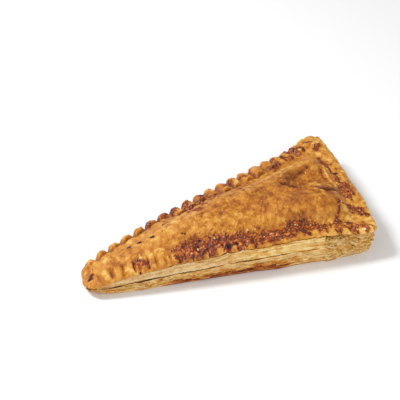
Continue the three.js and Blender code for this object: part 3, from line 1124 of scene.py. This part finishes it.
def broken(number, lengths, spread):
    """A value for each column that steps from stretch to stretch, as a leaf breaks."""
    rng = np.random.default_rng(number)
    ends = np.cumsum(rng.uniform(*lengths, size=round(PATH_LENGTH / lengths[0])))
    values = rng.normal(0, spread, len(ends))
    knots = np.stack([ends[:-1] - BREAK_SLOPE, ends[:-1] + BREAK_SLOPE], axis=1).ravel()
    steps = np.stack([values[:-1], values[1:]], axis=1).ravel()
    return np.interp(column_way - starts[0], knots, steps)


def shares(rng, leaves):
    """Random thicknesses, added up into shares from 0 to 1."""
    ends = np.cumsum(rng.uniform(0.6, 1.4, leaves))
    return np.insert(ends, 0, 0)[:, None] / ends[-1]


def leaf_edges(seed):
    """Where the leaves part, as shares of the rim height, from the foot to the lip."""
    rng = np.random.default_rng(seed)
    under, over = seam_line - half_gap, seam_line + half_gap
    lower_sheet = LEAF_FOOT + (under - LEAF_FOOT) * shares(rng, LOWER_LEAVES)
    upper_sheet = over + (ROOF - over) * shares(rng, UPPER_LEAVES)
    return lower_sheet, upper_sheet


lower_edges, upper_edges = leaf_edges(seed=31)
thickness = np.diff(lower_edges, axis=0) * rim
print("lower leaves are", thickness.min().round(2), "to", thickness.max().round(2), "mm thick")

# %% [markdown]
# ## Rings of the leaves
# Seen from the side each leaf is a thin rounded line, broken here and there, with a dark crevice
# over it. Each could be an object of its own, but one skin with deep folds is closed and lighter.
# So a leaf is four rings of the mesh, and the crevice is the first ring of the next leaf, painted
# darker as shade. The leaves beside the open seam keep still on the cut, so that its gap stays
# clean.

# %% Rings of one leaf
LEAF_SECTION = ((0.0, -0.95), (0.16, -0.2), (0.5, 0.0), (0.84, -0.16))  # share of height, and out


def leaf_rings(low, high, number, on_upper):
    """The rings of one leaf: how far out, share of the height, browning with painted shade, and on
    which sheet.
    """
    here = flat_edge + 41.0 * number  # a part of the noise that no other leaf uses
    ragged = 1 - 0.9 * cut - 0.06 * yellow if on_upper else 1 - 0.25 * cut
    ragged = ragged * (1 - 0.6 * (number < 2))
    flush = 0.3 * cut * on_upper * (1 - smooth(70, 95, x) + noise(flat_edge, 9, 45))
    rng = np.random.default_rng(number)
    stand = 0.5 * noise(here, 10, 34) + 0.3 * noise(here, 2.6, 35)
    stand += broken(200 + number, (3, 12), 0.45)
    stand += torn_end * (0.35 * noise(here, 1.5, 55) + broken(400 + number, (1.2, 4), 0.3))
    beside_seam = number in (LOWER_LEAVES - 1, LOWER_LEAVES)
    whole = cut if beside_seam else 0
    missing = smooth(0.3, 0.45, noise(here, 6, 36)) * (1 - whole)
    out = ragged * (rng.uniform(-0.5, 0.3) + stand - 1.2 * missing) - 0.25 + flush
    wander = (high - low) * (0.5 * noise(here, 12, 37) + 0.5 * torn_end * noise(here, 4, 52))
    wander += 0.035 * torn_end * (noise(flat_edge, 9, 53) + 0.7 * noise(flat_edge, 2.6, 54))
    wander = wander * (1 - whole)
    tone = rng.uniform(-0.10, 0.10) + broken(300 + number, (4, 16), 0.10)
    torn_tone = broken(500 + number, (1.5, 6), 0.12)
    rings = []
    for share, rounding in LEAF_SECTION:
        crevice = rounding < -0.5
        level = low + (high - low) * share + wander
        fine = 0.14 * noise(here + 7 * share, 1.2, 38)
        gap = rounding * (0.18 + 0.82 * ragged)
        # The crevice ring is painted darker, as the shade between leaves.
        bake = 0.19 + tone + 0.22 * noise(here, 4, 39) + 0.14 * out + 0.42 * crevice * ragged
        bake += torn_end * (0.30 * noise(here + 5 * share, 1.8, 56) + torn_tone)
        rings.append((out + gap + fine, level, bake, float(on_upper)))
    return rings


rings = []
for number, (low, high) in enumerate(zip(lower_edges, lower_edges[1:])):
    rings += leaf_rings(low, high, number, on_upper=False)
lower_lip, crack_floor = rings[-1][0] - 0.1, -2.0 - crack
# The open seam's floor and walls are painted dark, as the shade inside it.
dark = 0.55 + 0.6 * smooth(0.05, 0.3, crack)
for share, out in ((-1, lower_lip), (-0.85, crack_floor), (0.85, crack_floor), (1, -0.35)):
    rings.append((out, seam_line + share * half_gap, dark, 0.0))
for number, (low, high) in enumerate(zip(upper_edges, upper_edges[1:]), LOWER_LEAVES):
    rings += leaf_rings(low, high, number, on_upper=True)
under_lip = -1.2 - 0.9 * front * smooth(CUT_END, CUT_END + 2, x)
# The rings under the lip are painted nearly black, as the shade under it.
for out, level in ((under_lip, ROOF), (under_lip - 2.0, ROOF + 0.01)):
    rings.append((out, np.full(COLUMNS, level), np.full(COLUMNS, 0.95), 0.0))
print(LOWER_LEAVES + UPPER_LEAVES, "leaves and the seam take", len(rings), "rings")

# %% [markdown]
# ## The side as one piece
# The rings are stacked from the foot to the lip. The foot is rounded, the tip leans back, and a
# long hollow runs under the lip beyond the wheel's cut, painted darker as shade. The foot of the
# front burnt dark, and one leaf stayed pale. Both ends are closed with one large face each, out of
# sight.

# %% Layers
SCOOP, SCOOP_DEPTH = 0.22, 2.4  # the hollow's height as a share of the rim's, and its depth
TIP_REACH = 9  # how far from the blunt tip the side is set back


def place_ring(out, level):
    """A ring of the side's true points from how far out it is and its share of the height."""
    follow = np.where(front, 0.15, 0.35 + 0.4 * level)
    foot_round = foot_out * (1 - smooth(0.1, 0.5, level)) - 0.5 * (1 - smooth(0, 0.08, level)) ** 2
    at_tip = np.exp(-((np.maximum(x, 0) / TIP_REACH) ** 2))
    set_back = -at_tip * (1.7 + 0.9 * (1 - smooth(0.42, 0.62, level)))
    place = push(out + foot_round + set_back, follow)
    place[:, 0] -= OVERHANG * np.clip(1 - level, 0, 1) ** 0.4 * near_corner(plain)
    return at_height(place, level * rim + 0.8 * at_tip * (1 - smooth(0, 0.4, level)))


side_points = [place_ring(np.full(COLUMNS, -0.5), np.zeros(COLUMNS))]
side_paint = {"bake": [0.62 + 0.3 * foot_burn], "cream": [0 * cut], "yellow": [0 * cut]}
for out, level, bake, on_upper in rings:
    hollow = smooth(ROOF - SCOOP, ROOF - 0.03, level) * torn_end * (1 - smooth(130, 140, x))
    side_points.append(place_ring(out - SCOOP_DEPTH * hollow, level))
    low_down = 1 - smooth(0.13, 0.35, level + 0.06 * noise(flat_edge, 5, 40))
    sheet = on_upper * cut
    bake = bake - 0.04 * sheet * (1 - yellow) - 0.06 * pale_end * (1 - on_upper)
    bake = bake - 0.10 * cut * (1 - on_upper) * (1 - smooth(50, 70, x))
    # The hollow under the lip is painted darker, as shade.
    bake = bake + low_down * (0.10 + 0.50 * foot_burn) + 0.36 * hollow - 0.05 * torn_end
    pale_leaf = np.exp(-(((level - 0.40) / 0.035) ** 2))
    bake = bake - 0.22 * pale_leaf * front * smooth(60, 75, x) * (1 - torn_end)
    side_paint["bake"].append(np.clip(bake, 0, 1))
    side_paint["cream"].append(sheet * (1 - smooth(70, 95, x)))
    side_paint["yellow"].append(on_upper * yellow)
numbers = np.arange(len(side_points) * COLUMNS).reshape(-1, COLUMNS)
layer_faces = []
for below, above in zip(numbers, numbers[1:]):
    layer_faces += joined(below, above)
layer_faces.append(numbers[0, ::-1].tolist())
layer_faces.append(numbers[-1].tolist())
side_paint = {name: np.concatenate(values) for name, values in side_paint.items()}
make_piece("layers", np.vstack(side_points), layer_faces, layer_finish, **side_paint)

# %% [markdown]
# ## Thin sheets
# Broken leaves stick out of the side as thin curled flakes. A plane with no thickness would render,
# but it can't be printed and its edge catches no light. So a small sheet gets a top, a bottom and
# a border between them. Many such sheets are gathered into one object, which keeps the scene light.

# %% Sheets with a thickness
side_levels = np.array([ring[1] for ring in rings])
side_outs = np.array([np.broadcast_to(ring[0], COLUMNS) for ring in rings])


def side_out(level, column):
    """How far out the side is, at a share of the rim's height in one column."""
    return np.interp(level, side_levels[:, column], side_outs[:, column])


def closed_sheet(top, thickness):
    """Points and faces of a sheet with a thickness, from its rows of points."""
    rows, columns = top.shape[:2]
    index = np.arange(rows * columns).reshape(rows, columns)
    bottom = top - np.array([0, 0, thickness])
    lower = index + rows * columns
    faces = []
    for i in range(rows - 1):
        for j in range(columns - 1):
            faces.append([index[i, j], index[i, j + 1], index[i + 1, j + 1], index[i + 1, j]])
            faces.append([lower[i, j], lower[i + 1, j], lower[i + 1, j + 1], lower[i, j + 1]])
    border = [*index[0, :-1], *index[:-1, -1], *index[-1, :0:-1], *index[:0:-1, 0]]
    shift = rows * columns
    for a, b in zip(border, border[1:] + border[:1]):
        faces.append([b, a, a + shift, b + shift])
    return np.vstack([top.reshape(-1, 3), bottom.reshape(-1, 3)]), faces


def gather(parts):
    """Many small closed meshes as one: points, faces and a value for each point."""
    points, faces, values, first = [], [], [], 0
    for part_points, part_faces, part_values in parts:
        points.append(part_points)
        faces += [[first + i for i in face] for face in part_faces]
        values.append(part_values)
        first += len(part_points)
    return np.vstack(points), faces, np.concatenate(values)


def make_scraps(name, points, faces, bake):
    """A piece with the layers' finish that was neither cut nor soaked."""
    none = np.zeros(len(points))
    make_piece(name, points, faces, layer_finish, bake=bake, cream=none, yellow=none)


print("the side stands out by up to", side_outs.max().round(2), "mm")

# %% [markdown]
# ## Flakes on the side
# Each flake's inner edge is buried in the side, and its outer edge is ragged and bent up or down.
# Most sit on the lower sheet and round the torn sides, few on the cut face, and none in the open
# seam, which they would hide.

# %% Torn flakes
FLAKES = 1000  # how many are tried; those that would stand on the cut are left out
ON_TORN_END, ON_CUT = 0.25, 0.05  # shares that are put on the torn end and let stand on the cut
ACROSS = 7  # points along a flake
FLAKE_ROOT, FLAKE_THICKNESS = 0.6, 0.16
COLUMN_STEP = 0.31  # about the length from one column to the next
SEAM_CLEAR = 0.09  # how far from the open seam a flake keeps, as a share of the rim height
torn_columns = np.flatnonzero(torn_end > 0.5)


def side_flake(rng):
    """One flake: its points, faces and browning, or nothing where the side is cut smooth."""
    first = rng.choice(torn_columns) if rng.random() < ON_TORN_END else rng.integers(COLUMNS)
    level = rng.uniform(0.13, 0.86)
    if crack[first] > 0.3 and front[first] and abs(level - seam_line[first]) < SEAM_CLEAR:
        return None
    on_cut = cut[first] > 0.5
    if on_cut and level > SEAM - 0.03 and rng.random() > ON_CUT:
        return None
    wide = rng.uniform(1.2, 5.5 - 2.3 * torn_end[first])
    columns = (first + np.linspace(0, wide / COLUMN_STEP, ACROSS).astype(int)) % COLUMNS
    reach = rng.uniform(0.25, 1.1) * np.sin(np.linspace(0.25, np.pi - 0.25, ACROSS)) ** 0.5
    reach *= rng.uniform(0.6, 1.2, ACROSS)
    curl = rng.uniform(-0.5, 0.5)
    surface = np.array([side_out(level, column) for column in columns])
    rows = []
    for share in (0.0, 0.55, 1.0):
        out = np.zeros(COLUMNS)
        out[columns] = surface - FLAKE_ROOT + share * (FLAKE_ROOT + reach)
        row = place_ring(out, np.full(COLUMNS, level))[columns]
        row[:, 2] += curl * share**2 + 0.10 * rng.normal(size=ACROSS) * share
        rows.append(row)
    points, faces = closed_sheet(np.array(rows), FLAKE_THICKNESS)
    tone = rng.uniform(0.02, 0.52) - 0.08 * torn_end[first]
    tone += 0.3 * foot_burn[first] * (level < 0.2)
    return points, faces, np.full(len(points), tone)


rng = np.random.default_rng(51)
flakes = [flake for flake in (side_flake(rng) for _ in range(FLAKES)) if flake]
print(len(flakes), "flakes on the side")
make_scraps("side_flakes", *gather(flakes))

# %% [markdown]
# ## Small lumps
# Sugar grains and crumbs are small uneven lumps. Blender could scatter them with a particle system,
# but the copies would all be alike. Here one small ball of triangles is copied to many places, and
# every point of every copy is pushed in or out a little. The height of the crust is worked out for
# the same places, so that each lump touches it.

# %% Grain shapes
EDGE_MARGIN = 1.2  # no lump lies nearer the edge than this


def ball():
    """Points and triangles of a ball: an icosahedron with each triangle cut in four."""
    mesh = bmesh.new()
    bmesh.ops.create_icosphere(mesh, subdivisions=2, radius=1)
    points = np.array([vertex.co for vertex in mesh.verts])
    faces = np.array([[vertex.index for vertex in face.verts] for face in mesh.faces])
    mesh.free()
    return points, faces


def lumps(rng, places, sizes, flatness, unevenness):
    """Uneven lumps at some places: points and faces."""
    points, faces = ball()
    count = len(places)
    turns = np.linalg.qr(rng.normal(size=(count, 3, 3)))[0]
    push_out = 1 + unevenness * rng.normal(size=(count, len(points), 1))
    stretch = np.stack([rng.uniform(0.8, 1.25, count), rng.uniform(0.75, 1.1, count)], axis=1)
    stretch = np.column_stack([stretch, np.full(count, flatness)])[:, None]
    shapes = np.einsum("nij,npj->npi", turns, points * push_out * stretch)
    shapes = shapes * sizes[:, None, None] / 2 + places[:, None]
    numbers = faces + len(points) * np.arange(count)[:, None, None]
    return shapes.reshape(-1, 3), numbers.reshape(-1, 3).tolist(), len(points)


def on_crust(rng, count):
    """Random places on the crust, with how burnt each is."""
    weights = rng.dirichlet([1, 1, 1], count)
    corners = np.array([(1, 8), (LENGTH, -1), (LENGTH - 4, WIDTH - 2)])
    xy = weights @ corners
    depths, _ = sides_of(xy)
    xy = xy[depths.min(axis=0) > EDGE_MARGIN]
    height, paint = crust_fields(xy)
    return np.column_stack([xy, height]), paint["burnt"]


print("one lump has", len(ball()[1]), "triangles")

# %% [markdown]
# ## Sugar grains
# Coarse sugar that didn't melt sits in the burnt sugar and catches the light, from clear straw to
# dark amber. Hundreds of grains are drawn at random, nearly all where the sugar burnt, and a short
# list adds the few that are large enough to be noticed one by one.

# %% Sugar grains
def sugar_material():
    """Clear to amber sugar, with a hard shine."""
    start, finish = new_material("sugar_grains")
    tone = painted(start, "tone") + 0.3 * (grain(start, 0.5) - 0.5)
    colour = tone.ramp(
        (0.00, tint(90, 32, 6)),
        (0.40, tint(158, 82, 22)),
        (0.75, tint(212, 150, 76)),
        (1.00, tint(242, 216, 170)),
    )
    return finish(
        {
            "Base Color": colour,
            "Roughness": 0.22 + 0.2 * (grain(start, 0.7) - 0.5),
            "Coat Weight": 0.6,
            "Coat Roughness": 0.08,
            **glow(0.35, 0.6),
        }
    )


GEMS = [  # x, y, size, tone: grains large enough to be noticed
    (142.6, 20.7, 1.6, 0.75),
    (143.6, -0.9, 1.7, 1.0),
    (139.9, 0.0, 1.3, 0.85),
    (146.8, 13.9, 1.2, 0.8),
    (129.6, 1.4, 1.1, 0.75),
    (109.6, 8.2, 1.0, 0.85),
    (117.4, 7.2, 0.9, 0.85),
    (57.4, 3.6, 1.3, 0.9),
    (66.8, 6.8, 1.0, 0.95),
    (84.2, 8.2, 1.2, 0.95),
    (88.6, 9.2, 1.1, 0.9),
    (95.2, 5.0, 1.0, 0.8),
]
GRAIN_TRIES = 16000
GEM_RISE = 0.25  # how far a large grain's middle stands over the crust

rng = np.random.default_rng(61)
places, burnt = on_crust(rng, GRAIN_TRIES)
chosen = rng.random(len(places)) < 0.12 * burnt + 0.004
places = places[chosen]
gem_xy = np.array([gem[:2] for gem in GEMS])
gem_height, _ = crust_fields(gem_xy)
places = np.vstack([places, np.column_stack([gem_xy, gem_height + GEM_RISE])])
sizes = np.concatenate([rng.uniform(0.4, 0.95, chosen.sum()), [gem[2] for gem in GEMS]])
tones = np.concatenate([rng.beta(1.3, 2.2, chosen.sum()), [gem[3] for gem in GEMS]])
points, faces, each = lumps(rng, places, sizes, flatness=0.8, unevenness=0.07)
make_piece("sugar_grains", points, faces, sugar_material(), tone=np.repeat(tones, each))
print(len(places), "grains of sugar")

# %% [markdown]
# ## Crumbs
# Crumbs are bits of leaf that broke off and stuck, half of them on the crust and half on the side.
# They are flatter and rougher than sugar, and they share the layers' finish.

# %% Crumbs
CRUMBS = 260  # tried on the crust, and again on the side

rng = np.random.default_rng(71)
places, _ = on_crust(rng, CRUMBS)
columns = rng.integers(COLUMNS, size=CRUMBS)
levels = rng.uniform(0.05, 0.85, CRUMBS)
for column, level in zip(columns, levels):
    ring = place_ring(np.full(COLUMNS, side_out(level, column)), np.full(COLUMNS, level))
    places = np.vstack([places, ring[column]])
sizes = rng.uniform(0.3, 0.9, len(places))
points, faces, each = lumps(rng, places, sizes, flatness=0.45, unevenness=0.16)
make_scraps("crumbs", points, faces, np.repeat(rng.uniform(0.1, 0.6, len(places)), each))
print(len(places), "crumbs")

# %% [markdown]
# ## Floor
# The pastry stands on a plain pale floor, large enough to fill the view from every side.

# %% Floor
FLOOR_REACH = 3.0


def studio_floor():
    """A pale square under the pastry."""
    mesh = bpy.data.meshes.new("floor")
    turns = ((-1, -1), (1, -1), (1, 1), (-1, 1))
    corners = [(FLOOR_REACH * right, FLOOR_REACH * back, 0) for right, back in turns]
    mesh.from_pydata(corners, [], [(0, 1, 2, 3)])
    _, finish = new_material("pale_floor")
    mesh.materials.append(finish({"Base Color": (0.93, 0.93, 0.93, 1), "Roughness": 0.9}))
    floor = bpy.data.objects.new("floor", mesh)
    bpy.context.collection.objects.link(floor)
    floor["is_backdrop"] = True


studio_floor()
print("the floor is", 2 * FLOOR_REACH, "m wide")

# %% [markdown]
# ## Lights
# One soft light comes from the back left, so that it rakes over the relief, and a large weaker one
# from the front lifts the side that faces the camera. A small hard lamp would show the relief more,
# but its shadows would be black. A bright even surround fills what is left.

# %% Lights and surround
SURROUND_STRENGTH = 0.5


def soft_light(name, place, size, power):
    """A round soft light that points at the pastry."""
    light = bpy.data.lights.new(name, "AREA")
    light.shape, light.size, light.energy = "DISK", size, power
    lamp = bpy.data.objects.new(name, light)
    lamp.location = place
    lamp.rotation_euler = (-Vector(place)).to_track_quat("-Z", "Y").to_euler()
    bpy.context.collection.objects.link(lamp)
    print(name, "light", round(Vector(place).length, 2), "m away,", power, "W")


soft_light("key", (-0.45, 0.25, 0.65), size=0.25, power=5.2)
soft_light("fill", (0.10, -0.75, 0.40), size=0.5, power=2.4)
world = bpy.data.worlds.new("surround")
world.use_nodes = True
surround = world.node_tree.nodes["Background"].inputs
surround["Color"].default_value = (1, 1, 1, 1)
surround["Strength"].default_value = SURROUND_STRENGTH
bpy.context.scene.world = world

# %% [markdown]
# ## Camera
# The camera looks down on the pastry at about 34 degrees, a little from the left, through a long
# lens, which keeps its proportions true. The Standard view shows colours as they were mixed, where
# a filmic one would dull the pale floor.

# %% Camera
CAMERA_AT, CAMERA_AIM, LENS = (-67.96, -450.38, 363.48), (76.53, 68.76, 0), 106.85


def from_plan(place):
    """A place in millimetres from the front left of the plan, as Blender's metres."""
    return (Vector(place) - Vector((*PLAN_CENTRE, 0))) * MM


def aim_camera():
    """The camera, made the scene's own."""
    camera = bpy.data.objects.new("camera", bpy.data.cameras.new("camera"))
    camera.data.lens = LENS
    camera.data.clip_start = 0.01
    camera.location = from_plan(CAMERA_AT)
    view = from_plan(CAMERA_AIM) - from_plan(CAMERA_AT)
    camera.rotation_euler = view.to_track_quat("-Z", "Y").to_euler()
    bpy.context.collection.objects.link(camera)
    bpy.context.scene.camera = camera
    down = math.degrees(math.asin(-view.normalized().z))
    print("the camera looks down at", round(down, 1), "degrees")


bpy.context.scene.view_settings.view_transform = "Standard"
aim_camera()

# %% [markdown]
# ## Sizes at the end
# Flakes and lumps may stand proud of the solid by a little. The boxes of the solid and of the
# finished pieces are kept side by side, and the pieces' size is printed.

# %% Sizes at the end
boxes = {"cad": [list(c) for c in cad_box], "visual": [list(c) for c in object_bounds()]}
print("the pieces measure", [round((b - a) / MM, 1) for a, b in zip(*boxes["visual"])], "mm")
